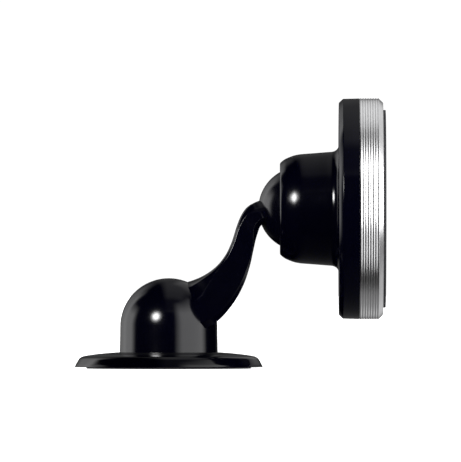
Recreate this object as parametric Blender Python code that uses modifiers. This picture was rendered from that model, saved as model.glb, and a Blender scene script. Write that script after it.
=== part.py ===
"""Car phone mount: adhesive disc base, swivelling dome with a curved neck,
ball joint, and a round magnetic head with a grooved aluminium trim ring.

World frame: origin at the centre of the adhesive's underside, +Z up,
+X toward the face that takes the phone.  Dimensions below are millimetres.
"""
import math

import bmesh
import bpy
from mathutils import Matrix, Vector

MM = 0.001

# ---------------------------------------------------------------- dimensions
PLATE_R = 19.08           # base plate, bottom edge
PLATE_LIFT = 0.30         # adhesive showing below the plate
PAD_R = 16.8
PAD_T = 0.90
PAD_POCKET_R = 17.2
COVER_R = 6.0             # disc that closes the screw pocket
COVER_T = 0.35
POCKET_R = 4.9            # screw pocket under the plate
POCKET_TOP = 4.3
HUB_R = 7.2               # hub the dome turns on
HUB_TOP = 5.6
SEAT_R = 10.15            # recess the dome's foot runs in
SEAT_Z = 2.40
SWIVEL_HOLE_R = 1.75

GLIDE_IN, GLIDE_OUT, GLIDE_T = 7.9, 9.7, 0.5

DOME_R = 9.825
DOME_CZ = 8.456
DOME_FOOT_R = 9.92
DOME_FOOT_Z = 3.05
DOME_BORE_R = 7.6
BOSS_R = 3.7
BOSS_Z = 5.95

INSERT_R, INSERT_BORE, INSERT_L = 2.30, 1.60, 5.0
SCREW_R = 1.5
SWIVEL_HEAD_R, SWIVEL_HEAD_T = 2.9, 1.4

BALL_R = 8.5
BALL = (26.61, 0.0, 32.31)
BALL_SEAT_GAP = 0.03
BALL_DIP = 12.0           # the ball screw's axis dips this many degrees toward the neck
BALL_BORE_R = 1.35
BALL_SHANK_R = 1.25
BALL_CBORE_R = 2.6
BALL_CBORE_Z = 1.8        # shoulder of the counterbore, from the ball centre
BALL_SCREW_TIP = -10.6
BALL_SCREW_HEAD_R, BALL_SCREW_HEAD_T = 2.25, 2.2

LINER_IN, LINER_OUT, LINER_ANGLE = 8.62, 9.08, 68.0
CUP_SEAT_R = 9.25         # pressure cup's spherical seat
CUP_OUT_R = 9.6
CUP_FRONT = 10.4          # along the head axis from the ball centre

DISC_R_REAR = 21.45
DISC_R = 22.32
DISC_REAR = 34.38
DISC_FRONT = 38.53
RING_R = 22.35
RING_IN = 20.4
RING_FRONT = 43.32
RING_CHAMFER_X = 42.4
RING_CHAMFER_R = 21.47
GROOVES = 7
GROOVE_DEPTH = 0.12
GROOVE_START = 38.80
GROOVE_PITCH = 0.506
STACK_R = 20.15           # plates inside the ring
YOKE_X = (38.70, 39.70)
CARRIER_X = (39.78, 42.20)
FRONT_X = (42.28, 43.20)
PAD_FACE_R = 19.99
PAD_FACE_X = (43.28, 43.86)
MAGNETS = 6
MAGNET_R, MAGNET_T = 5.0, 2.2
MAGNET_PCD_R = 13.2
SCREWS = 3
SCREW_PCD_R = 17.5
POST_R = 2.3
POST_PILOT_R = 0.85
PIN_R = 0.75              # carrier screw shank
PIN_HEAD_R, PIN_HEAD_T = 1.6, 1.0

SEG_BIG = 40
SEG_MID = 28
SEG_SMALL = 20

# neck stations: centre X, centre Z, half thickness in XZ, half depth in Y at
# the under side and at the top of the flat side, then the section's upper
# edge: drop of the crown, half width of the crown, and drop at which its
# bevel meets the flat side
NECK = [
    (3.53, 12.19, 4.86, 7.40, 7.40, 1.20, 4.20, 4.40),
    (6.67, 13.35, 4.94, 7.40, 7.40, 1.00, 4.50, 3.90),
    (9.75, 15.67, 4.20, 7.10, 7.10, 0.40, 5.60, 1.90),
    (12.15, 18.51, 3.40, 6.70, 6.70, 0.16, 6.10, 0.75),
    (13.78, 21.53, 2.76, 6.30, 6.30, 0.12, 5.85, 0.55),
    (14.72, 24.17, 2.40, 6.00, 6.00, 0.12, 5.55, 0.52),
    (15.31, 26.25, 2.26, 5.80, 5.75, 0.12, 5.30, 0.52),
    (15.78, 27.85, 2.24, 5.65, 5.50, 0.12, 5.00, 0.55),
    (16.46, 29.65, 2.23, 5.50, 5.20, 0.13, 4.45, 0.80),
    (17.31, 30.84, 2.32, 5.32, 4.98, 0.15, 3.80, 1.10),
    (18.31, 31.36, 2.41, 5.20, 4.80, 0.15, 3.10, 1.40),
    (19.12, 31.76, 2.35, 5.08, 4.68, 0.15, 2.55, 1.50),
    (21.40, 32.34, 2.10, 5.00, 4.60, 0.15, 2.30, 1.50),
]
NECK_SUB = 2              # spline steps between stations
UNDER_IN, UNDER_UP = 0.9, 1.5   # bevel along the under side at the root, fading upward
END_IN, END_UP = 1.05, 1.05     # bevel of the lower corners at the ball, clear of the cup's rim

# ---------------------------------------------------------------- scene setup
for ob in list(bpy.data.objects):
    bpy.data.objects.remove(ob, do_unlink=True)

PART = bpy.data.collections.new("car_phone_mount")
CUT = bpy.data.collections.new("cutters")
bpy.context.scene.collection.children.link(PART)
bpy.context.scene.collection.children.link(CUT)

MATERIALS = {}


def material(name, color, rough, metal):
    if name in MATERIALS:
        return MATERIALS[name]
    m = bpy.data.materials.new(name)
    m.use_nodes = True
    p = m.node_tree.nodes.get("Principled BSDF")
    p.inputs["Base Color"].default_value = (*color, 1.0)
    p.inputs["Roughness"].default_value = rough
    p.inputs["Metallic"].default_value = metal
    m.diffuse_color = (*color, 1.0)
    MATERIALS[name] = m
    return m


BLACK = (0.012, 0.012, 0.015)


def add(name, mesh, mat=None, cutter=False):
    ob = bpy.data.objects.new(name, mesh)
    (CUT if cutter else PART).objects.link(ob)
    if cutter:
        ob.hide_render = True
        ob.display_type = 'WIRE'
    if mat is not None:
        mesh.materials.append(mat)
    return ob


def turned(name, profile, mat=None, seg=SEG_BIG, cutter=False):
    """Solid or ring of revolution about local Z.  profile: (r, z) in mm, run
    down its outer side.  Ends on the axis make an open line, otherwise the
    line is closed into a ring section."""
    verts = [(r * MM, 0.0, z * MM) for r, z in profile]
    n = len(verts)
    edges = [(i, i + 1) for i in range(n - 1)]
    if profile[0][0] > 1e-9:
        edges.append((n - 1, 0))
    me = bpy.data.meshes.new(name)
    me.from_pydata(verts, edges, [])
    ob = add(name, me, mat, cutter)
    s = ob.modifiers.new("turn", 'SCREW')
    s.axis = 'Z'
    s.angle = 2.0 * math.pi
    s.steps = seg
    s.render_steps = seg
    s.use_merge_vertices = True
    s.merge_threshold = 1e-6
    s.use_smooth_shade = True
    return ob


def rod(name, r, z0, z1, mat=None, seg=SEG_SMALL, cutter=False):
    return turned(name, [(0, z1), (r, z1), (r, z0), (0, z0)], mat, seg, cutter)


def cut(ob, tool, op='DIFFERENCE'):
    b = ob.modifiers.new(tool.name, 'BOOLEAN')
    b.operation = op
    b.solver = 'EXACT'
    b.object = tool
    return b


def arc(r, a0, a1, n, c=0.0):
    """Points on a circle of radius r, angle from +Z in degrees."""
    out = []
    for i in range(n + 1):
        a = math.radians(a0 + (a1 - a0) * i / n)
        out.append((r * math.sin(a), c + r * math.cos(a)))
    return out


# local Z of a head piece points along world +X
TO_HEAD = (0.0, math.pi / 2, 0.0)


def place_head(ob):
    ob.location = [v * MM for v in BALL]
    ob.rotation_euler = TO_HEAD
    return ob


def hx(x):
    """World X of a head plane, measured from the ball centre."""
    return x - BALL[0]


# ---------------------------------------------------------------- base
pad_m = material("adhesive_pad", (0.02, 0.02, 0.022), 0.85, 0.0)
turned("adhesive_pad", [(0, PAD_T), (PAD_R, PAD_T), (PAD_R, 0.3), (PAD_R - 0.3, 0), (0, 0)], pad_m)

plate_m = material("base_plate", BLACK, 0.22, 0.0)
plate_profile = [
    # hub, from its top
    (SWIVEL_HOLE_R, HUB_TOP), (HUB_R - 0.4, HUB_TOP), (HUB_R, HUB_TOP - 0.4),
    (HUB_R, SEAT_Z), (SEAT_R, SEAT_Z),
    # shallow crown, rounded edge, sloped side
    (SEAT_R, 3.30), (12.6, 3.13), (15.02, 2.88), (16.64, 2.65), (17.5, 2.47),
    (18.11, 2.04), (18.61, 1.23), (18.99, 0.42), (PLATE_R, PLATE_LIFT),
    # underside: pocket for the adhesive, cover recess, screw pocket
    (PAD_POCKET_R, PLATE_LIFT), (PAD_POCKET_R, PAD_T + 0.03),
    (COVER_R + 0.3, PAD_T + 0.03), (COVER_R + 0.3, PAD_T + COVER_T + 0.12),
    (POCKET_R, PAD_T + COVER_T + 0.12), (POCKET_R, POCKET_TOP),
    (SWIVEL_HOLE_R, POCKET_TOP),
]
turned("base_plate", plate_profile, plate_m)

cover_m = material("pocket_cover", (0.55, 0.56, 0.58), 0.4, 0.0)
rod("pocket_cover", COVER_R, PAD_T + 0.06, PAD_T + 0.06 + COVER_T, cover_m, SEG_MID)

glide_m = material("glide_ring", (0.75, 0.75, 0.72), 0.5, 0.0)
gz = SEAT_Z + 0.06
turned("glide_ring", [(GLIDE_IN, gz + GLIDE_T), (GLIDE_OUT, gz + GLIDE_T),
                      (GLIDE_OUT, gz), (GLIDE_IN, gz)], glide_m, SEG_MID)

# ---------------------------------------------------------------- arm
arm_m = material("arm_body", BLACK, 0.18, 0.0)
dome_profile = arc(DOME_R, 0, 90, 9, DOME_CZ) + [
    (9.86, 6.0), (DOME_FOOT_R, DOME_FOOT_Z + 0.1), (DOME_FOOT_R - 0.1, DOME_FOOT_Z), (0, DOME_FOOT_Z)]
arm = turned("arm_body", dome_profile, arm_m)


def catmull(p, t):
    """Point on the spline through stations p at parameter t (in stations)."""
    i = min(int(t), len(p) - 2)
    f = t - i
    q = [p[max(i - 1, 0)], p[i], p[i + 1], p[min(i + 2, len(p) - 1)]]
    out = []
    for a, b, c, d in zip(*q):
        out.append(0.5 * ((2 * b) + (c - a) * f + (2 * a - 5 * b + 4 * c - d) * f * f
                          + (3 * b - a - 3 * c + d) * f ** 3))
    return out


def neck_section(i, m, x, z, ht, hd, hs, ct, wt, cs):
    """Half section (y, v) from the under side up, v square to the centre line:
    flat bottom, flat side, bevel and low crown."""
    u = i / m
    fade = max(0.0, 1.0 - u / 0.45)
    end = min(1.0, max(0.0, (u - 0.42) / 0.2))
    b_in = max(UNDER_IN * fade, END_IN * end, 0.15 * UNDER_IN)
    b_up = max(UNDER_UP * fade, END_UP * end, 0.15 * UNDER_UP)
    return [(hd - b_in, -ht), (hd, -ht + b_up), (hs, ht - cs), (wt, ht - ct),
            (0.55 * wt, ht - 0.32 * ct), (0.0, ht)]


def neck_mesh(name, sub):
    """Loft through sections set square to the neck's centre line."""
    m = (len(NECK) - 1) * sub
    st = [catmull(NECK, i / sub) for i in range(m + 1)]
    bm = bmesh.new()
    rings = []
    for i, s in enumerate(st):
        x, z = s[0], s[1]
        a, b = st[max(i - 1, 0)], st[min(i + 1, m)]
        tx, tz = b[0] - a[0], b[1] - a[1]
        ln = math.hypot(tx, tz)
        nx, nz = -tz / ln, tx / ln          # toward the upper side of the neck
        half = neck_section(i, m, *s)
        full = half + [(-y, v) for y, v in reversed(half[:-1])]
        rings.append([bm.verts.new(((x + nx * v) * MM, y * MM, (z + nz * v) * MM)) for y, v in full])
    for a, b in zip(rings, rings[1:]):
        for j in range(len(a)):
            k = (j + 1) % len(a)
            bm.faces.new((a[j], a[k], b[k], b[j]))
    bm.faces.new(list(reversed(rings[0])))
    bm.faces.new(rings[-1])
    bmesh.ops.recalc_face_normals(bm, faces=bm.faces[:])
    me = bpy.data.meshes.new(name)
    bm.to_mesh(me)
    bm.free()
    for p in me.polygons:
        p.use_smooth = True
    return me


neck = add("cut_neck", neck_mesh("cut_neck", NECK_SUB), None, True)
cut(arm, neck, 'UNION')

hollow = turned("cut_hollow", [
    (0, 11.3), (INSERT_R + 0.05, 11.0), (INSERT_R + 0.05, BOSS_Z), (BOSS_R, BOSS_Z), (BOSS_R, 12.9),
    (4.6, 13.3), (6.2, 12.2), (7.3, 10.4), (DOME_BORE_R, 9.0), (DOME_BORE_R, DOME_FOOT_Z - 0.6),
    (0, DOME_FOOT_Z - 0.6)], None, SEG_MID, True)
cut(arm, hollow)

# the neck's end is seated on the ball and drilled for its screw
TO_BALL = (0.0, math.radians(90.0 - BALL_DIP), 0.0)


def place_ball(ob):
    ob.location = [v * MM for v in BALL]
    ob.rotation_euler = TO_BALL
    return ob


seat = place_ball(turned("cut_seat", arc(BALL_R + BALL_SEAT_GAP, 0, 180, 16), None, SEG_MID, True))
cut(arm, seat)
drill = place_ball(rod("cut_drill", BALL_BORE_R, BALL_SCREW_TIP - 0.2, -4.0, None, SEG_SMALL, True))
cut(arm, drill)

brass = material("swivel_insert", (0.78, 0.57, 0.24), 0.35, 1.0)
turned("swivel_insert", [(INSERT_BORE, BOSS_Z + INSERT_L), (INSERT_R, BOSS_Z + INSERT_L),
                         (INSERT_R, BOSS_Z + 3.2), (INSERT_R - 0.25, BOSS_Z + 2.9), (INSERT_R - 0.25, BOSS_Z + 2.1),
                         (INSERT_R, BOSS_Z + 1.8), (INSERT_R, BOSS_Z + 0.02), (INSERT_BORE, BOSS_Z + 0.02)],
       brass, SEG_SMALL)

steel = material("swivel_screw", (0.62, 0.62, 0.64), 0.3, 1.0)
head0 = PAD_T + COVER_T + 0.30
head1 = head0 + SWIVEL_HEAD_T
turned("swivel_screw", [(0, 10.6), (SCREW_R - 0.4, 10.6), (SCREW_R, 10.2), (SCREW_R, head1),
                        (SWIVEL_HEAD_R, head1), (SWIVEL_HEAD_R, head0 + 0.4), (SWIVEL_HEAD_R - 0.4, head0),
                        (1.2, head0), (1.0, head0 + 0.8), (0, head0 + 0.8)], steel, SEG_SMALL)
washer_m = material("swivel_washer", (0.68, 0.68, 0.70), 0.35, 1.0)
w0 = head1 + 0.06
turned("swivel_washer", [(1.62, w0 + 0.5), (4.55, w0 + 0.5), (4.55, w0), (1.62, w0)], washer_m, 28)
wave_m = material("swivel_spring", (0.50, 0.50, 0.53), 0.3, 1.0)
s0 = w0 + 0.56
turned("swivel_spring", [(1.9, POCKET_TOP - 0.06), (2.3, POCKET_TOP - 0.06), (4.5, s0 + 0.25), (4.5, s0), (4.1, s0),
                         (1.9, POCKET_TOP - 0.31)], wave_m, 28)

# ball, turned about its screw's axis; local +Z leans toward the phone
ball_m = material("ball", (0.06, 0.06, 0.065), 0.16, 0.0)
a_front = math.degrees(math.asin(BALL_CBORE_R / BALL_R))
a_back = 180 - math.degrees(math.asin(BALL_BORE_R / BALL_R))
place_ball(turned("ball", arc(BALL_R, a_front, a_back, 11) + [
    (BALL_BORE_R, BALL_CBORE_Z), (BALL_CBORE_R, BALL_CBORE_Z)], ball_m, SEG_MID))
bs_m = material("ball_screw", (0.60, 0.60, 0.62), 0.3, 1.0)
b0 = BALL_CBORE_Z + 0.03
b1 = b0 + BALL_SCREW_HEAD_T
place_ball(turned("ball_screw", [
    (0, b1 - 1.2), (1.0, b1 - 1.2), (1.25, b1), (BALL_SCREW_HEAD_R - 0.35, b1), (BALL_SCREW_HEAD_R, b1 - 0.5),
    (BALL_SCREW_HEAD_R, b0), (BALL_SHANK_R, b0), (BALL_SHANK_R, BALL_SCREW_TIP + 0.5),
    (BALL_SHANK_R - 0.45, BALL_SCREW_TIP),
    (0, BALL_SCREW_TIP)], bs_m, SEG_SMALL))

# ---------------------------------------------------------------- ball joint
liner_m = material("friction_liner", (0.30, 0.30, 0.31), 0.7, 0.0)
place_head(turned("friction_liner", arc(LINER_OUT, 0, LINER_ANGLE, 6) + arc(LINER_IN, LINER_ANGLE, 0, 6),
                  liner_m, SEG_MID))

sock_m = material("socket_ring", (0.72, 0.72, 0.70), 0.45, 0.0)


def sphere_r(radius, z):
    return math.sqrt(radius * radius - z * z)


SOCK_IN = BALL_R + 0.14
place_head(turned("socket_ring", [
    (sphere_r(SOCK_IN, -0.95), -0.95), (9.5, -0.95), (9.12, -2.0), (8.5, -3.05),
    (sphere_r(SOCK_IN, -3.05), -3.05), (sphere_r(SOCK_IN, -2.4), -2.4), (sphere_r(SOCK_IN, -1.7), -1.7)],
    sock_m, SEG_MID))

cup_m = material("pressure_cup", (0.70, 0.70, 0.68), 0.45, 0.0)
place_head(turned("pressure_cup", [(0, CUP_FRONT), (CUP_OUT_R - 0.3, CUP_FRONT), (CUP_OUT_R, CUP_FRONT - 0.3),
                                   (CUP_OUT_R, 1.6)]
                  + arc(CUP_SEAT_R, 80.0, 0, 7), cup_m, SEG_MID))
spring_m = material("disc_spring", (0.50, 0.50, 0.53), 0.3, 1.0)
d0 = CUP_FRONT + 0.10
d1 = hx(YOKE_X[0]) - 0.10
place_head(turned("disc_spring", [(3.0, d1), (3.9, d1), (8.2, d0 + 0.55), (8.2, d0), (7.6, d0), (3.0, d1 - 0.55)],
                  spring_m, SEG_MID))

# ---------------------------------------------------------------- head
shell_m = material("rear_shell", BLACK, 0.15, 0.0)
shell_profile = [
    # rim of the cup, over its outside and along the back of the disc
    (7.75, hx(22.49)), (9.1, hx(22.49)), (9.69, hx(22.99)), (10.2, hx(23.80)), (10.54, hx(24.6)),
    (10.81, hx(25.4)), (10.98, hx(26.2)), (11.08, hx(27.0)), (11.52, hx(32.7)), (11.75, hx(33.6)),
    (12.15, hx(34.15)), (12.9, hx(34.38)), (DISC_R_REAR, hx(DISC_REAR)), (22.23, hx(35.23)),
    (DISC_R, hx(DISC_FRONT)),
    # socket for the trim ring's spigot, floor of the disc
    (20.98, hx(DISC_FRONT)), (20.98, hx(36.9)), (20.3, hx(36.2)), (9.9, hx(36.2)),
    # bore of the cup, back to the rim
    (9.9, hx(27.0)), (9.82, hx(26.2)), (9.42, hx(24.6)), (8.75, hx(23.35)), (8.0, hx(23.2)),
]
shell_profile = [(r, z) for r, z in reversed(shell_profile)]
shell = place_head(turned("rear_shell", shell_profile, shell_m))


def around(radius, count, phase=0.0):
    """Places on a circle in the head's plane: local x, y."""
    return [(radius * math.cos(math.radians(phase + 360.0 * i / count)),
             radius * math.sin(math.radians(phase + 360.0 * i / count))) for i in range(count)]


def place_on_head(ob, x, y):
    """Put a piece turned about local Z at (x, y) in the head's plane."""
    m = Matrix.Translation(Vector(BALL) * MM) @ Matrix.Rotation(math.pi / 2, 4, 'Y')
    ob.location = m @ Vector((x * MM, y * MM, 0.0))
    ob.rotation_euler = TO_HEAD
    return ob


screw_spots = around(SCREW_PCD_R, SCREWS, 30.0)
magnet_spots = around(MAGNET_PCD_R, MAGNETS, 0.0)
post_top = hx(YOKE_X[0]) - 0.06
for i, (x, y) in enumerate(screw_spots):
    post = place_on_head(turned("cut_post_%d" % (i + 1), [
        (POST_PILOT_R, post_top), (POST_R, post_top), (POST_R, hx(35.6)), (POST_PILOT_R, hx(35.6))],
        None, SEG_SMALL, True), x, y)
    cut(shell, post, 'UNION')

# trim ring: fine grooves round its outside
ring_m = material("trim_ring", (0.80, 0.81, 0.83), 0.25, 1.0)
outer = [(22.25, hx(38.58)), (RING_R, hx(GROOVE_START))]
for i in range(GROOVES):
    c = GROOVE_START + GROOVE_PITCH * i
    outer += [(RING_R - GROOVE_DEPTH, hx(c + GROOVE_PITCH / 2)), (RING_R, hx(c + GROOVE_PITCH))]
outer += [(22.32, hx(RING_CHAMFER_X)), (RING_CHAMFER_R, hx(RING_FRONT))]
ring_profile = [(RING_IN, hx(37.3)), (20.85, hx(37.3)), (20.85, hx(38.58))] + outer + [(RING_IN, hx(RING_FRONT))]
place_head(turned("trim_ring", [(r, z) for r, z in reversed(ring_profile)], ring_m))

yoke_m = material("yoke_plate", (0.55, 0.55, 0.57), 0.35, 1.0)
yoke = place_head(rod("yoke_plate", STACK_R, hx(YOKE_X[0]), hx(YOKE_X[1]), yoke_m, SEG_BIG))
carrier_m = material("magnet_carrier", (0.05, 0.05, 0.055), 0.5, 0.0)
carrier = place_head(rod("magnet_carrier", STACK_R, hx(CARRIER_X[0]), hx(CARRIER_X[1]), carrier_m, SEG_BIG))
magnet_m = material("magnet", (0.70, 0.70, 0.72), 0.25, 1.0)
pin_m = material("carrier_screw", (0.30, 0.30, 0.32), 0.35, 1.0)
m0 = hx(CARRIER_X[0]) + 0.04
for i, (x, y) in enumerate(magnet_spots):
    hole = place_on_head(rod("cut_pocket_%d" % (i + 1), MAGNET_R + 0.08, m0 - 1.0, m0 + MAGNET_T + 0.05,
                             None, SEG_SMALL, True), x, y)
    cut(carrier, hole)
    place_on_head(rod("magnet_%d" % (i + 1), MAGNET_R, m0, m0 + MAGNET_T, magnet_m, SEG_SMALL), x, y)
for i, (x, y) in enumerate(screw_spots):
    top = hx(CARRIER_X[1]) - 0.12
    bore = place_on_head(turned("cut_screw_%d" % (i + 1), [
        (0, top + 1.0), (PIN_HEAD_R + 0.1, top + 1.0), (PIN_HEAD_R + 0.1, top - PIN_HEAD_T - 0.05),
        (PIN_R + 0.1, top - PIN_HEAD_T - 0.05), (PIN_R + 0.1, hx(38.0)), (0, hx(38.0))],
        None, 16, True), x, y)
    cut(carrier, bore)
    cut(yoke, bore)
    place_on_head(turned("carrier_screw_%d" % (i + 1), [
        (0, top - 0.5), (0.7, top), (PIN_HEAD_R, top), (PIN_HEAD_R, top - PIN_HEAD_T), (PIN_R, top - PIN_HEAD_T),
        (PIN_R, hx(36.6)), (PIN_R - 0.3, hx(36.3)), (0, hx(36.3))], pin_m, 16), x, y)

front_m = material("front_plate", (0.03, 0.03, 0.034), 0.4, 0.0)
place_head(rod("front_plate", STACK_R, hx(FRONT_X[0]), hx(FRONT_X[1]), front_m, SEG_BIG))
face_m = material("face_pad", (0.018, 0.018, 0.02), 0.7, 0.0)
place_head(turned("face_pad", [(0, hx(PAD_FACE_X[1])), (PAD_FACE_R - 0.15, hx(PAD_FACE_X[1])),
                               (PAD_FACE_R, hx(PAD_FACE_X[1]) - 0.15), (PAD_FACE_R, hx(PAD_FACE_X[0])),
                               (0, hx(PAD_FACE_X[0]))], face_m))
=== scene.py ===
"""Visual model of the car phone mount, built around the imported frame."""
import math

import bmesh
import bpy
import numpy as np
from mathutils import Matrix, Vector


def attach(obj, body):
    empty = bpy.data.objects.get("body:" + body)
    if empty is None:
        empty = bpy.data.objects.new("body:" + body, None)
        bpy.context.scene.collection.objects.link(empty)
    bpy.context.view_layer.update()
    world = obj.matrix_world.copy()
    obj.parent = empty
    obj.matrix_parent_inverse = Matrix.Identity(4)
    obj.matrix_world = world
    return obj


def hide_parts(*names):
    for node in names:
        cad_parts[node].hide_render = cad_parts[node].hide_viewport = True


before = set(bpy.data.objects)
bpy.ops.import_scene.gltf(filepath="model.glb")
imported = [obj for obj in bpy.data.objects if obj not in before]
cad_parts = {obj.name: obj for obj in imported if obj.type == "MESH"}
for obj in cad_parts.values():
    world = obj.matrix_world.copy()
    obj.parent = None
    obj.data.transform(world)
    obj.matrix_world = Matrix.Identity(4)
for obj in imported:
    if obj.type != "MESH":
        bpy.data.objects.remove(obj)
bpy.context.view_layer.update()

MM = 0.001
BALL = (26.61, 0.0, 32.31)       # ball centre, mm
BALL_R = 8.5


def hx(x):
    """World X of a head plane, measured from the ball centre."""
    return x - BALL[0]


# ------------------------------------------------------------------ geometry
def fillet(pts, n=5, support=0.03):
    """pts: (r, z, radius).  Rounds each corner with an arc and holds the
    straight runs with a support point just outside each arc."""
    out = []
    m = len(pts)
    for i, p in enumerate(pts):
        rad = p[2] if len(p) > 2 else 0.0
        a = np.array(pts[i][:2], float)
        if rad <= 0 or i == 0 or i == m - 1:
            out.append(tuple(a))
            continue
        u = np.array(pts[i - 1][:2], float) - a
        v = np.array(pts[(i + 1) % m][:2], float) - a
        lu, lv = np.linalg.norm(u), np.linalg.norm(v)
        u, v = u / lu, v / lv
        ang = math.acos(max(-1.0, min(1.0, float(u @ v))))
        if ang > math.radians(178):
            out.append(tuple(a))
            continue
        t = min(rad / math.tan(ang / 2), 0.45 * lu, 0.45 * lv)
        r = t * math.tan(ang / 2)
        b = (u + v) / np.linalg.norm(u + v)
        c = a + b * (r / math.sin(ang / 2))
        s0, s1 = a + u * t, a + v * t
        if t + support < 0.5 * lu:
            out.append(tuple(s0 + u * support))
        a0 = math.atan2(*(s0 - c)[::-1])
        a1 = math.atan2(*(s1 - c)[::-1])
        d = (a1 - a0 + math.pi) % (2 * math.pi) - math.pi
        for k in range(n + 1):
            w = a0 + d * k / n
            out.append((c[0] + r * math.cos(w), c[1] + r * math.sin(w)))
        if t + support < 0.5 * lv:
            out.append(tuple(s1 + v * support))
    return out


def sharpen(me, degrees=32.0):
    """Smooth shading, with edges steeper than this kept sharp."""
    bm = bmesh.new()
    bm.from_mesh(me)
    for f in bm.faces:
        f.smooth = True
    lim = math.radians(degrees)
    for e in bm.edges:
        e.smooth = not (len(e.link_faces) == 2 and e.calc_face_angle(0.0) > lim)
    bm.to_mesh(me)
    bm.free()


def put(name, me):
    ob = bpy.data.objects.new(name, me)
    bpy.context.scene.collection.objects.link(ob)
    return ob


def lathe_mesh(name, profile, seg=192, place=None, closed=False):
    """Surface of revolution of (r, z) in mm about Z; place maps it to the row frame."""
    bm = bmesh.new()
    rows = []
    for r, z in profile:
        if r < 1e-6:
            rows.append([bm.verts.new((0, 0, z * MM))])
        else:
            rows.append([bm.verts.new((r * MM * math.cos(2 * math.pi * j / seg),
                                       r * MM * math.sin(2 * math.pi * j / seg), z * MM)) for j in range(seg)])
    pairs = list(zip(rows, rows[1:]))
    if closed:
        pairs.append((rows[-1], rows[0]))
    for a, b in pairs:
        if len(a) == 1 and len(b) == 1:
            continue
        for j in range(seg):
            k = (j + 1) % seg
            if len(a) == 1:
                bm.faces.new((a[0], b[j], b[k]))
            elif len(b) == 1:
                bm.faces.new((a[j], b[0], a[k]))
            else:
                bm.faces.new((a[j], b[j], b[k], a[k]))
    bmesh.ops.recalc_face_normals(bm, faces=bm.faces[:])
    if place is not None:
        bmesh.ops.transform(bm, matrix=place, verts=bm.verts[:])
    me = bpy.data.meshes.new(name)
    bm.to_mesh(me)
    bm.free()
    return me


HEAD = Matrix.Translation(Vector(BALL) * MM) @ Matrix.Rotation(math.pi / 2, 4, 'Y')


def lathe(name, profile, body, nodes, seg=192, place=None, closed=False, sharp=32.0):
    me = lathe_mesh(name, profile, seg, place, closed)
    sharpen(me, sharp)
    ob = put(name, me)
    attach(ob, body)
    if nodes:
        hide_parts(*nodes)
    return ob


def baked(ob, name):
    """The object's mesh with its modifiers applied, as a new mesh."""
    dg = bpy.context.evaluated_depsgraph_get()
    me = bpy.data.meshes.new_from_object(ob.evaluated_get(dg))
    me.name = name
    return me


def arc(r, a0, a1, n, c=0.0):
    return [(r * math.sin(math.radians(a0 + (a1 - a0) * i / n)),
             c + r * math.cos(math.radians(a0 + (a1 - a0) * i / n))) for i in range(n + 1)]


def catmull(p, t):
    i = min(int(t), len(p) - 2)
    f = t - i
    q = [p[max(i - 1, 0)], p[i], p[i + 1], p[min(i + 2, len(p) - 1)]]
    return [0.5 * ((2 * b) + (c - a) * f + (2 * a - 5 * b + 4 * c - d) * f * f
                   + (3 * b - a - 3 * c + d) * f ** 3) for a, b, c, d in zip(*q)]


def smooth_line(pts, sub=6):
    """Points on a smooth line through pts."""
    out = []
    for i in range((len(pts) - 1) * sub + 1):
        out.append(tuple(catmull(pts, i / sub)))
    return out


# ------------------------------------------------------------------ pieces
# adhesive: foam pad with a die-cut edge
pad = lathe("pad_foam", [(0, 0.9)] + fillet([
    (16.5, 0.9, 0), (16.8, 0.88, 0.05), (16.78, 0.42, 0.1), (16.6, 0.02, 0.05), (16.3, 0.0, 0)], 4)
    + [(0, 0)], "base", ["adhesive_pad"], 192)

plate_outer = smooth_line([(10.9, 3.265), (11.79, 3.19), (12.6, 3.13), (13.4, 3.055), (14.21, 2.97), (15.02, 2.875),
                           (15.83, 2.76), (16.64, 2.64)], 2) + \
    smooth_line([(17.15, 2.545), (17.5, 2.44), (17.82, 2.27), (18.11, 2.03), (18.37, 1.63), (18.61, 1.22), (18.84, 0.80),
                 (18.98, 0.46)], 3)
plate_pts = ([(1.75, 5.6), (6.7, 5.6), (7.1, 5.5), (7.2, 5.2), (7.2, 2.45), (7.25, 2.4), (10.1, 2.4), (10.15, 2.45),
              (10.15, 3.20), (10.18, 3.27), (10.25, 3.30), (10.4, 3.295)] + plate_outer +
             [(19.05, 0.36), (19.08, 0.33), (19.06, 0.305), (19.0, 0.30), (17.25, 0.30), (17.2, 0.33), (17.2, 0.93),
              (6.3, 0.93), (6.3, 1.37), (4.9, 1.37), (4.9, 4.3), (1.75, 4.3)])
plate = lathe("plate_shell", plate_pts, "base", ["base_plate"], 224, closed=True, sharp=40)

# dome and neck in one piece
NECK = [
    (3.53, 12.19, 4.86, 7.40, 7.40, 1.20, 4.20, 4.40),
    (6.67, 13.35, 4.94, 7.40, 7.40, 1.00, 4.50, 3.90),
    (9.75, 15.67, 4.20, 7.10, 7.10, 0.40, 5.60, 1.90),
    (12.15, 18.51, 3.40, 6.70, 6.70, 0.16, 6.10, 0.75),
    (13.78, 21.53, 2.76, 6.30, 6.30, 0.12, 5.85, 0.55),
    (14.72, 24.17, 2.40, 6.00, 6.00, 0.12, 5.55, 0.52),
    (15.31, 26.25, 2.26, 5.80, 5.75, 0.12, 5.30, 0.52),
    (15.78, 27.85, 2.24, 5.65, 5.50, 0.12, 5.00, 0.55),
    (16.46, 29.65, 2.23, 5.50, 5.20, 0.13, 4.45, 0.80),
    (17.31, 30.84, 2.32, 5.32, 4.98, 0.15, 3.80, 1.10),
    (18.25, 31.47, 2.29, 5.20, 4.80, 0.15, 3.10, 1.30),
    (19.10, 31.80, 2.28, 5.08, 4.68, 0.15, 2.55, 1.45),
    (20.50, 32.12, 2.14, 5.02, 4.62, 0.15, 2.40, 1.48),
]


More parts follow.
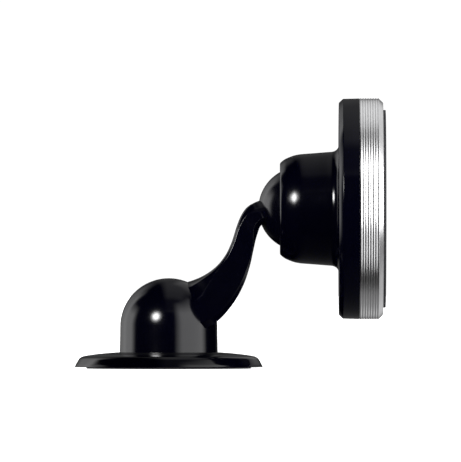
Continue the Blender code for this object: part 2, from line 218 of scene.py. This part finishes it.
def rounded(poly, radii, n=4):
    """Half section with each inner corner rounded; the same number of points
    whatever the shape, so that sections can be lofted."""
    out = [poly[0]]
    for i in range(1, len(poly) - 1):
        c = np.array(poly[i], float)
        u = np.array(poly[i - 1], float) - c
        v = np.array(poly[i + 1], float) - c
        lu, lv = np.linalg.norm(u), np.linalg.norm(v)
        t = min(radii[i], 0.36 * lu, 0.36 * lv)
        p0, p1 = c + u / lu * t, c + v / lv * t
        out.append(tuple(c + u / lu * 1.35 * t))
        for k in range(n + 1):
            f = k / n
            out.append(tuple((1 - f) ** 2 * p0 + 2 * f * (1 - f) * c + f * f * p1))
        out.append(tuple(c + v / lv * 1.35 * t))
    out.append(poly[-1])
    return out


def neck_mesh(name, sub=8):
    m = (len(NECK) - 1) * sub
    st = [catmull(NECK, i / sub) for i in range(m + 1)]
    bm = bmesh.new()
    rings = []
    for i, (x, z, ht, hd, hs, ct, wt, cs) in enumerate(st):
        a, b = st[max(i - 1, 0)], st[min(i + 1, m)]
        tx, tz = b[0] - a[0], b[1] - a[1]
        ln = math.hypot(tx, tz)
        nx, nz = -tz / ln, tx / ln
        u = i / m
        fade = max(0.0, 1.0 - u / 0.45)
        end = min(1.0, max(0.0, (u - 0.42) / 0.2))
        b_in = max(0.9 * fade, 1.05 * end, 0.135)
        b_up = max(1.5 * fade, 1.05 * end, 0.225)
        soft = min(1.0, max(0.0, (u - 0.72) / 0.12))
        edge = 0.01 + 0.07 * min(1.0, max(0.0, (u - 0.22) / 0.12)) + 1.2 * soft
        crown = [(wt * q, ht - ct * q * q) for q in (1.0, 0.86, 0.7, 0.52, 0.34, 0.17, 0.0)]
        poly = [(0, -ht), (hd - b_in, -ht), (hd, -ht + b_up), (hs, ht - cs)] + crown
        half = rounded(poly[:5] + [crown[1]], (0, 0.03, 0.03, edge, 0.30 + 0.9 * soft, 0)) \
            + crown[2:]
        full = half + [(-y, v) for y, v in reversed(half[1:-1])]
        rings.append([bm.verts.new(((x + nx * v) * MM, y * MM, (z + nz * v) * MM)) for y, v in full])
    for a, b in zip(rings, rings[1:]):
        for j in range(len(a)):
            k = (j + 1) % len(a)
            bm.faces.new((a[j], a[k], b[k], b[j]))
    bm.faces.new(list(reversed(rings[0])))
    bm.faces.new(rings[-1])
    bmesh.ops.recalc_face_normals(bm, faces=bm.faces[:])
    me = bpy.data.meshes.new(name)
    bm.to_mesh(me)
    bm.free()
    return me


def combine(base, tools):
    """Exact Booleans, applied one after another; tools are (mesh, operation)."""
    ob = bpy.data.objects.new("tmp_base", base)
    bpy.context.scene.collection.objects.link(ob)
    made = []
    for me, op in tools:
        t = bpy.data.objects.new("tmp_tool", me)
        bpy.context.scene.collection.objects.link(t)
        made.append(t)
        b = ob.modifiers.new("b", 'BOOLEAN')
        b.solver = 'EXACT'
        b.operation = op
        b.object = t
    me = baked(ob, "combined")
    for o in [ob] + made:
        bpy.data.objects.remove(o, do_unlink=True)
    return me


dome_pts = arc(9.825, 0, 90, 40, 8.456) + [(9.84, 7.2), (9.86, 6.0), (9.90, 4.2), (9.92, 3.3), (9.92, 3.14),
                                            (9.89, 3.08), (9.82, 3.05), (0, 3.05)]
hollow_pts = [(0, 11.3), (2.35, 11.0), (2.35, 5.95), (3.7, 5.95), (3.7, 12.9), (4.6, 13.3), (6.2, 12.2), (7.3, 10.4),
              (7.6, 9.0), (7.6, 2.45), (0, 2.45)]
BALL_PLACE = Matrix.Translation(Vector(BALL) * MM) @ Matrix.Rotation(math.radians(78.0), 4, 'Y')
arm_me = combine(lathe_mesh("dome", dome_pts, 160), [
    (neck_mesh("neck"), 'UNION'),
    (lathe_mesh("hollow", hollow_pts, 64), 'DIFFERENCE'),
    (lathe_mesh("seat", arc(BALL_R + 0.015, 0, 180, 64), 128, HEAD), 'DIFFERENCE'),
    (lathe_mesh("drill", [(0, -4.0), (1.35, -4.0), (1.35, -10.8), (0, -10.8)], 40, BALL_PLACE), 'DIFFERENCE'),
])
sharpen(arm_me, 28)
arm = put("arm_moulding", arm_me)
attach(arm, "arm")
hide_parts("arm_body")

a_front = math.degrees(math.asin(2.6 / BALL_R))
a_back = 180 - math.degrees(math.asin(1.35 / BALL_R))
ball = lathe("ball_joint", arc(BALL_R, a_front, a_back, 72) + [(1.35, 1.8), (2.6, 1.8)], "arm", ["ball"],
             144, BALL_PLACE, closed=True)

# cup and rear of the head
cup_outer = smooth_line([(9.18, hx(22.49)), (9.42, hx(22.68)), (9.69, hx(22.99)), (9.97, hx(23.38)), (10.2, hx(23.80)),
                         (10.54, hx(24.6)), (10.81, hx(25.4)), (10.98, hx(26.2)), (11.08, hx(27.0)),
                         (11.2, hx(28.6)), (11.33, hx(30.3)), (11.46, hx(31.9)), (11.53, hx(32.9)), (11.6, hx(33.25)),
                         (11.77, hx(33.67)), (12.08, hx(34.05)), (12.5, hx(34.29)), (12.95, hx(34.38))], 4)
shell_pts = ([(7.62, hx(22.62)), (7.66, hx(22.52)), (7.75, hx(22.47)), (9.05, hx(22.47))] + cup_outer +
             [(13.6, hx(34.38)), (21.38, hx(34.38)), (21.42, hx(34.385)), (21.46, hx(34.41)), (22.19, hx(35.17)),
              (22.22, hx(35.21)), (22.235, hx(35.26)), (22.24, hx(35.36)), (22.28, hx(37.0)), (22.32, hx(38.42)), (22.31, hx(38.50)),
              (22.25, hx(38.53)), (20.98, hx(38.53)), (20.98, hx(36.9)), (20.3, hx(36.2)), (9.9, hx(36.2)),
              (9.9, hx(27.0)), (9.82, hx(26.2)), (9.42, hx(24.6)), (8.75, hx(23.35)), (8.0, hx(23.2)),
              (7.7, hx(22.95))])
shell = lathe("head_shell", shell_pts, "head", ["rear_shell"], 256, HEAD, closed=True, sharp=38)

# grooved metal ring
GROOVES, GROOVE_START, GROOVE_PITCH, GROOVE_DEPTH = 7, 38.80, 0.506, 0.12
ring_out = [(22.22, hx(38.545)), (22.25, hx(38.56)), (22.335, hx(38.77)), (22.35, hx(38.80))]
for i in range(GROOVES):
    c = GROOVE_START + GROOVE_PITCH * (i + 0.5)
    for q, dr in ((-0.475, 0.0), (-0.445, 0.03), (-0.05, 0.96), (-0.02, 1.0), (0.02, 1.0), (0.05, 0.96),
                  (0.445, 0.03), (0.475, 0.0)):
        ring_out.append((22.35 - GROOVE_DEPTH * dr, hx(c + q * GROOVE_PITCH)))
ring_out += [(22.345, hx(42.37)), (22.33, hx(42.41)), (22.28, hx(42.46)), (21.56, hx(43.22)), (21.49, hx(43.28)),
             (21.38, hx(43.32)), (21.2, hx(43.32))]
ring_pts = [(20.4, hx(37.3)), (20.85, hx(37.3)), (20.85, hx(38.56))] + ring_out + \
    [(20.6, hx(43.32)), (20.45, hx(43.29)), (20.4, hx(43.2))]
ring = lathe("groove_ring", ring_pts, "head", ["trim_ring"], 288, HEAD, closed=True, sharp=35)

face = lathe("face_cover", [(0, hx(43.86)), (10, hx(43.86)), (19.6, hx(43.86))] + fillet([
    (19.7, hx(43.86), 0), (19.99, hx(43.86), 0.16), (19.99, hx(43.28), 0.05), (19.8, hx(43.28), 0)], 5)
    + [(0, hx(43.28))], "head", ["face_pad"], 224, HEAD)


# ------------------------------------------------------------------ materials
def shader(name):
    m = bpy.data.materials.new(name)
    m.use_nodes = True
    nt = m.node_tree
    p = nt.nodes.get("Principled BSDF")
    co = nt.nodes.new("ShaderNodeTexCoord")
    return m, nt, p, co.outputs["Object"]


def node(nt, kind, inputs=(), **props):
    n = nt.nodes.new(kind)
    for k, v in props.items():
        setattr(n, k, v)
    for k, v in dict(inputs).items():
        if isinstance(v, bpy.types.NodeSocket):
            nt.links.new(v, n.inputs[k])
        else:
            n.inputs[k].default_value = v
    return n


def scaled(nt, vec, scale):
    return node(nt, "ShaderNodeMapping", {"Vector": vec, "Scale": scale}).outputs["Vector"]


def noise(nt, vec, scale, detail=4.0, rough=0.55):
    return node(nt, "ShaderNodeTexNoise", {"Vector": vec, "Scale": scale, "Detail": detail,
                                           "Roughness": rough}).outputs["Fac"]


def remap(nt, fac, lo, hi, a=0.3, b=0.7):
    return node(nt, "ShaderNodeMapRange", {"Value": fac, "From Min": a, "From Max": b, "To Min": lo,
                                           "To Max": hi}).outputs["Result"]


def ramp(nt, fac, stops):
    r = node(nt, "ShaderNodeValToRGB", {"Fac": fac})
    e = r.color_ramp.elements
    while len(e) < len(stops):
        e.new(0.5)
    for el, (pos, col) in zip(e, stops):
        el.position = pos
        el.color = (*col, 1.0)
    return r.outputs["Color"]


def bump(nt, p, layers):
    """layers: (height, strength, distance in m), finest last."""
    normal = None
    for h, strength, dist in layers:
        b = node(nt, "ShaderNodeBump", {"Height": h, "Strength": strength, "Distance": dist})
        if normal is not None:
            nt.links.new(normal, b.inputs["Normal"])
        normal = b.outputs["Normal"]
    nt.links.new(normal, p.inputs["Normal"])


def gloss_black(name, base=(0.00012, 0.00012, 0.0011), lo=0.15, hi=0.19, spec=0.22):
    m, nt, p, vec = shader(name)
    broad = noise(nt, vec, 90, 3)
    fine = noise(nt, vec, 2600, 3)
    haze = noise(nt, vec, 420, 5, 0.6)
    col = ramp(nt, broad, [(0.3, base), (0.7, tuple(c * 1.5 for c in base))])
    nt.links.new(col, p.inputs["Base Color"])
    nt.links.new(remap(nt, haze, lo, hi), p.inputs["Roughness"])
    p.inputs["Specular IOR Level"].default_value = spec
    p.inputs["IOR"].default_value = 1.5
    bump(nt, p, [(broad, 0.06, 0.00002), (fine, 0.03, 0.000002)])
    return m


def metal(name, base, lo, hi, streak=(60, 60, 60), depth=0.000004, tint=0.88):
    m, nt, p, vec = shader(name)
    v = scaled(nt, vec, streak)
    grain = noise(nt, v, 40, 6, 0.65)
    patch = noise(nt, vec, 160, 3)
    col = ramp(nt, patch, [(0.3, tuple(c * tint for c in base)), (0.7, base)])
    nt.links.new(col, p.inputs["Base Color"])
    nt.links.new(remap(nt, grain, lo, hi), p.inputs["Roughness"])
    p.inputs["Metallic"].default_value = 1.0
    bump(nt, p, [(grain, 0.25, depth)])
    return m


def plastic(name, base, lo, hi, grain_scale=900, depth=0.00001, strength=0.3, vary=1.15):
    m, nt, p, vec = shader(name)
    grain = noise(nt, vec, grain_scale, 5, 0.6)
    cloud = noise(nt, vec, 120, 3)
    col = ramp(nt, cloud, [(0.3, base), (0.7, tuple(min(c * vary, 1.0) for c in base))])
    nt.links.new(col, p.inputs["Base Color"])
    nt.links.new(remap(nt, grain, lo, hi), p.inputs["Roughness"])
    bump(nt, p, [(grain, strength, depth)])
    return m


def foam(name):
    m, nt, p, vec = shader(name)
    cells = node(nt, "ShaderNodeTexVoronoi", {"Vector": vec, "Scale": 5200.0}, feature='F1').outputs["Distance"]
    grain = noise(nt, vec, 1500, 5)
    col = ramp(nt, grain, [(0.3, (0.006, 0.006, 0.010)), (0.7, (0.018, 0.018, 0.024))])
    nt.links.new(col, p.inputs["Base Color"])
    nt.links.new(remap(nt, grain, 0.7, 0.9), p.inputs["Roughness"])
    bump(nt, p, [(grain, 0.4, 0.00003), (cells, 0.5, 0.00004)])
    return m


def face_grain(name):
    m, nt, p, vec = shader(name)
    cells = node(nt, "ShaderNodeTexVoronoi", {"Vector": vec, "Scale": 1500.0}, feature='SMOOTH_F1').outputs["Distance"]
    grain = noise(nt, vec, 3800, 4)
    cloud = noise(nt, vec, 200, 3)
    col = ramp(nt, cloud, [(0.3, (0.008, 0.008, 0.010)), (0.7, (0.016, 0.016, 0.019))])
    nt.links.new(col, p.inputs["Base Color"])
    nt.links.new(remap(nt, grain, 0.48, 0.66), p.inputs["Roughness"])
    bump(nt, p, [(cells, 0.6, 0.00006), (grain, 0.3, 0.00001)])
    return m


BLACK_GLOSS = gloss_black("gloss_black", lo=0.12, hi=0.15)
PLATE_GLOSS = gloss_black("gloss_black_plate", lo=0.09, hi=0.12)
# the plate's middle is duller, rubbed by dust under the turning foot
rub = PLATE_GLOSS.node_tree
rub_p = next(n for n in rub.nodes if n.bl_idname == "ShaderNodeBsdfPrincipled")
polish = rub_p.inputs["Roughness"].links[0].from_socket
place = rub.nodes.new("ShaderNodeTexCoord")
flat = rub.nodes.new("ShaderNodeVectorMath")
flat.operation = 'MULTIPLY'
flat.inputs[1].default_value = (1.0, 1.0, 0.0)
radius = rub.nodes.new("ShaderNodeVectorMath")
radius.operation = 'LENGTH'
dull = rub.nodes.new("ShaderNodeMapRange")
dull.interpolation_type = 'SMOOTHSTEP'
for k, v in (("From Min", 0.0145), ("From Max", 0.0175), ("To Min", 0.34), ("To Max", 0.0)):
    dull.inputs[k].default_value = v
worst = rub.nodes.new("ShaderNodeMath")
worst.operation = 'MAXIMUM'
rub.links.new(place.outputs["Object"], flat.inputs[0])
rub.links.new(flat.outputs[0], radius.inputs[0])
rub.links.new(radius.outputs["Value"], dull.inputs["Value"])
rub.links.new(polish, worst.inputs[0])
rub.links.new(dull.outputs[0], worst.inputs[1])
rub.links.new(worst.outputs[0], rub_p.inputs["Roughness"])
BALL_GLOSS = gloss_black("ball_polish", (0.00016, 0.00016, 0.0012), 0.17, 0.22, 0.24)
RING_METAL = metal("turned_aluminium", (0.93, 0.93, 0.94), 0.29, 0.34, (90, 3, 3), 0.0000003, 0.97)
turned = RING_METAL.node_tree
shine = turned.nodes["Principled BSDF"]
shine.inputs["Anisotropic"].default_value = 0.75
shine.inputs["Anisotropic Rotation"].default_value = 0.25
turned.links.new(node(turned, "ShaderNodeTangent", direction_type='RADIAL', axis='X').outputs["Tangent"],
                 shine.inputs["Tangent"])


def wear(ob, m):
    ob.data.materials.clear()
    ob.data.materials.append(m)


for ob, m, s in ((pad, foam("foam_black"), "adhesive_pad"), (plate, PLATE_GLOSS, "base_plate"),
                 (arm, BLACK_GLOSS, "arm_body"), (ball, BALL_GLOSS, "ball"), (shell, BLACK_GLOSS, "rear_shell"),
                 (ring, RING_METAL, "trim_ring"), (face, face_grain("face_grain"), "face_pad")):
    wear(ob, m)

STEEL = metal("zinc_steel", (0.66, 0.67, 0.70), 0.22, 0.42)
SPRING = metal("spring_steel", (0.46, 0.46, 0.48), 0.25, 0.4)
NICKEL = metal("nickel", (0.74, 0.73, 0.70), 0.08, 0.2)
BRASS = metal("brass_turned", (0.80, 0.60, 0.28), 0.2, 0.38)
DARK_STEEL = metal("black_steel", (0.12, 0.12, 0.13), 0.3, 0.5)
WHITE_POM = plastic("acetal_white", (0.66, 0.66, 0.62), 0.38, 0.55)
GREY_POM = plastic("friction_grey", (0.16, 0.16, 0.165), 0.55, 0.75)
BLACK_ABS = plastic("abs_black", (0.02, 0.02, 0.022), 0.4, 0.6)
FILM = plastic("film_pale", (0.50, 0.51, 0.53), 0.25, 0.45)
INNER = {
    "pocket_cover": FILM, "glide_ring": WHITE_POM, "swivel_insert": BRASS, "swivel_screw": STEEL,
    "swivel_washer": STEEL, "swivel_spring": SPRING, "ball_screw": STEEL, "friction_liner": GREY_POM,
    "socket_ring": WHITE_POM, "pressure_cup": WHITE_POM, "disc_spring": SPRING, "yoke_plate": STEEL,
    "magnet_carrier": BLACK_ABS, "front_plate": BLACK_ABS,
}
for i in range(1, 7):
    INNER["magnet_%d" % i] = NICKEL
for i in range(1, 4):
    INNER["carrier_screw_%d" % i] = DARK_STEEL
for name, m in INNER.items():
    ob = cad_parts[name]
    if not ob.material_slots:
        ob.data.materials.append(m)
    for sl in ob.material_slots:
        sl.material = m

# ------------------------------------------------------------------ stage
# studio panels as the object sees them: grey level by angle in degrees, where
# azimuth 0 is toward the camera, positive to its right, and roll 90 is overhead
LEFT_STOPS = ((-180, 0.0), (-127, 0.0), (-118, 0.48), (-100, 0.78), (-86, 0.0), (180, 0.0))
LEFT_MASK = ((-16, 0.0), (-4, 1.0), (18, 1.0), (34, 0.0))
FAR_LEFT_STOPS = ((-180, 0.0), (-168, 0.015), (-160, 0.05), (-140, 0.20), (-127, 0.42), (-118, 0.0), (180, 0.0))
FAR_LEFT_MASK = ((-16, 0.0), (-4, 1.0), (34, 1.0), (52, 0.0))
RIGHT_STOPS = ((-180, 0.0), (14, 0.0), (32, 0.95), (84, 0.95), (100, 0.0), (180, 0.0))
RIGHT_MASK = ((-16, 0.0), (-4, 1.0), (30, 1.0), (60, 0.0))
BACK_STOPS = ((-180, 0.0), (100, 0.0), (110, 0.07), (166, 0.07), (174, 0.0), (180, 0.0))
BACK_MASK = ((-46, 0.0), (-36, 1.0), (-14, 1.0), (-6, 0.0), (8, 0.0), (18, 1.0), (52, 1.0), (62, 0.0))
SIDE_GAIN = 5.2
OVER_STOPS = ((-180, 0.12), (-120, 0.10), (-70, 0.05), (-50, 0.0), (34, 0.0), (37, 0.30), (42, 0.12), (66, 0.15),
              (78, 0.62), (100, 0.60), (115, 0.45), (135, 0.22), (160, 0.10), (180, 0.06))
OVER_MASK = ((-11, 0.0), (-2, 1.0), (22, 1.0), (36, 0.0))
OVER_GAIN = 1.0

floor_me = bpy.data.meshes.new("floor")
S = 4.0
floor_me.from_pydata([(-S, -S, 0), (S, -S, 0), (S, S, 0), (-S, S, 0)], [], [(0, 1, 2, 3)])
floor = put("floor", floor_me)
floor.location.z = -0.00002
fm, nt, p, vec = shader("floor_pale")
p.inputs["Base Color"].default_value = (0.92, 0.92, 0.92, 1)
p.inputs["Roughness"].default_value = 0.9
p.inputs["Specular IOR Level"].default_value = 0.0
p.inputs["Emission Color"].default_value = (1, 1, 1, 1)
p.inputs["Emission Strength"].default_value = 0.86
floor.data.materials.append(fm)
floor.visible_glossy = False
floor.visible_shadow = False


def softbox(name, az, el, dist, size_deg, radiance, shape='DISK', size_y_deg=None):
    """Area light seen from the object at azimuth az (from the camera, positive
    to its right) and elevation el, size in degrees."""
    a, e = math.radians(az), math.radians(el)
    pos = Vector((math.sin(a) * math.cos(e), -math.cos(a) * math.cos(e), math.sin(e))) * dist
    target = Vector((12.5 * MM, 0, 25 * MM))
    li = bpy.data.lights.new(name, 'AREA')
    li.shape = shape
    sx = 2 * dist * math.tan(math.radians(size_deg / 2))
    li.size = sx
    area = math.pi * sx * sx / 4
    if shape in ('RECTANGLE', 'ELLIPSE'):
        sy = 2 * dist * math.tan(math.radians(size_y_deg / 2))
        li.size_y = sy
        area = sx * sy if shape == 'RECTANGLE' else math.pi * sx * sy / 4
    li.energy = radiance * math.pi * area
    ob = bpy.data.objects.new(name, li)
    bpy.context.scene.collection.objects.link(ob)
    ob.location = target + pos
    ob.rotation_euler = (-pos).to_track_quat('-Z', 'Y').to_euler()
    ob.visible_camera = False
    return ob


# round key, brightest in the middle
keys = [softbox("key_round", -33, 23, 1.3, 15, 44.0), softbox("key_halo", -33, 23, 1.32, 21, 15.0),
        softbox("key_edge", -33, 23, 1.34, 27, 6.0)]
# the key is flagged off the bright ring, which the panels light, and cut down
# to a small patch on the base plate, where it meets the surface at a low angle
lit = bpy.data.collections.new("lit_by_key")
for ob in (ring, plate):
    lit.objects.link(ob)
for c in lit.collection_objects:
    c.light_linking.link_state = 'EXCLUDE'
for key in keys:
    key.light_linking.receiver_collection = lit
plate_only = bpy.data.collections.new("plate_only")
plate_only.objects.link(plate)
softbox("key_plate", -33, 21, 1.3, 11, 8.0).light_linking.receiver_collection = plate_only
# soft fills for the ring alone: in front above, in front below, and under the back
ring_only = bpy.data.collections.new("ring_only")
ring_only.objects.link(ring)
for name, az, el, wide, tall, level in (("ring_above", 0, 51, 140, 11, 0.9), ("ring_low", 44, -30, 44, 50, 1.1),
                                        ("ring_back", 180, -50, 130, 60, 0.14), ("ring_top", 180, 50, 130, 60, 0.24)):
    fill = softbox(name, az, el, 1.3, wide, level, 'RECTANGLE', tall)
    fill.light_linking.receiver_collection = ring_only

# the rest of the studio is a dark room with large soft panels
world = bpy.data.worlds.new("studio")
bpy.context.scene.world = world
world.use_nodes = True
wt = world.node_tree
bg = wt.nodes.get("Background")
out = wt.nodes.get("World Output")
wsep = node(wt, "ShaderNodeSeparateXYZ", {"Vector": wt.nodes.new("ShaderNodeTexCoord").outputs["Generated"]})


def math_node(op, *vals):
    n = wt.nodes.new("ShaderNodeMath")
    n.operation = op
    for i, v in enumerate(vals):
        if isinstance(v, bpy.types.NodeSocket):
            wt.links.new(v, n.inputs[i])
        else:
            n.inputs[i].default_value = v
    return n.outputs[0]


def angle_ramp(value, lo, hi, stops):
    """Grey level by angle in degrees."""
    f = node(wt, "ShaderNodeMapRange", {"Value": value, "From Min": math.radians(lo), "From Max": math.radians(hi)})
    r = node(wt, "ShaderNodeValToRGB", {"Fac": f.outputs["Result"]})
    e = r.color_ramp.elements
    while len(e) < len(stops):
        e.new(0.5)
    for el, (a, v) in zip(e, stops):
        el.position = (a - lo) / (hi - lo)
        el.color = (v, v, v, 1)
    return r.outputs["Color"]


toward = math_node('MULTIPLY', wsep.outputs["Y"], -1.0)
azim = math_node('ARCTAN2', wsep.outputs["X"], toward)
elev = math_node('ARCSINE', wsep.outputs["Z"])
roll = math_node('ARCTAN2', wsep.outputs["Z"], toward)
left = math_node('MULTIPLY', angle_ramp(azim, -180, 180, LEFT_STOPS), angle_ramp(elev, -90, 90, LEFT_MASK))
right = math_node('MULTIPLY', angle_ramp(azim, -180, 180, RIGHT_STOPS), angle_ramp(elev, -90, 90, RIGHT_MASK))
far_left = math_node('MULTIPLY', angle_ramp(azim, -180, 180, FAR_LEFT_STOPS),
                     angle_ramp(elev, -90, 90, FAR_LEFT_MASK))
back = math_node('MULTIPLY', angle_ramp(azim, -180, 180, BACK_STOPS), angle_ramp(elev, -90, 90, BACK_MASK))
sides = math_node('ADD', math_node('ADD', left, right), math_node('ADD', far_left, back))
over = angle_ramp(roll, -180, 180, OVER_STOPS)
over_mask = angle_ramp(math_node('ARCSINE', wsep.outputs["X"]), -90, 90, OVER_MASK)
panels = math_node('ADD', math_node('MULTIPLY', sides, SIDE_GAIN),
                   math_node('MULTIPLY', math_node('MULTIPLY', over, over_mask), OVER_GAIN))
wt.links.new(panels, bg.inputs["Strength"])
bg.inputs["Color"].default_value = (1.0, 1.0, 1.0, 1)
white = wt.nodes.new("ShaderNodeBackground")
white.inputs["Color"].default_value = (1, 1, 1, 1)
white.inputs["Strength"].default_value = 1.05
lp = wt.nodes.new("ShaderNodeLightPath")
mix = wt.nodes.new("ShaderNodeMixShader")
wt.links.new(lp.outputs["Is Camera Ray"], mix.inputs["Fac"])
wt.links.new(bg.outputs["Background"], mix.inputs[1])
wt.links.new(white.outputs["Background"], mix.inputs[2])
wt.links.new(mix.outputs["Shader"], out.inputs["Surface"])

DIST = 3.6
SPAN = 93.43 * MM                 # height of the view at the object
cam_d = bpy.data.cameras.new("camera")
cam = bpy.data.objects.new("camera", cam_d)
bpy.context.scene.collection.objects.link(cam)
cam.location = (12.48 * MM, -DIST, 27.82 * MM)
cam.rotation_euler = (math.radians(90), 0, 0)
cam_d.sensor_width = 36.0
cam_d.lens = 36.0 * DIST / SPAN
cam_d.clip_start = 0.05
cam_d.clip_end = 20.0
bpy.context.scene.camera = cam
bpy.context.scene.view_settings.view_transform = 'Standard'
bpy.context.scene.view_settings.look = 'None'
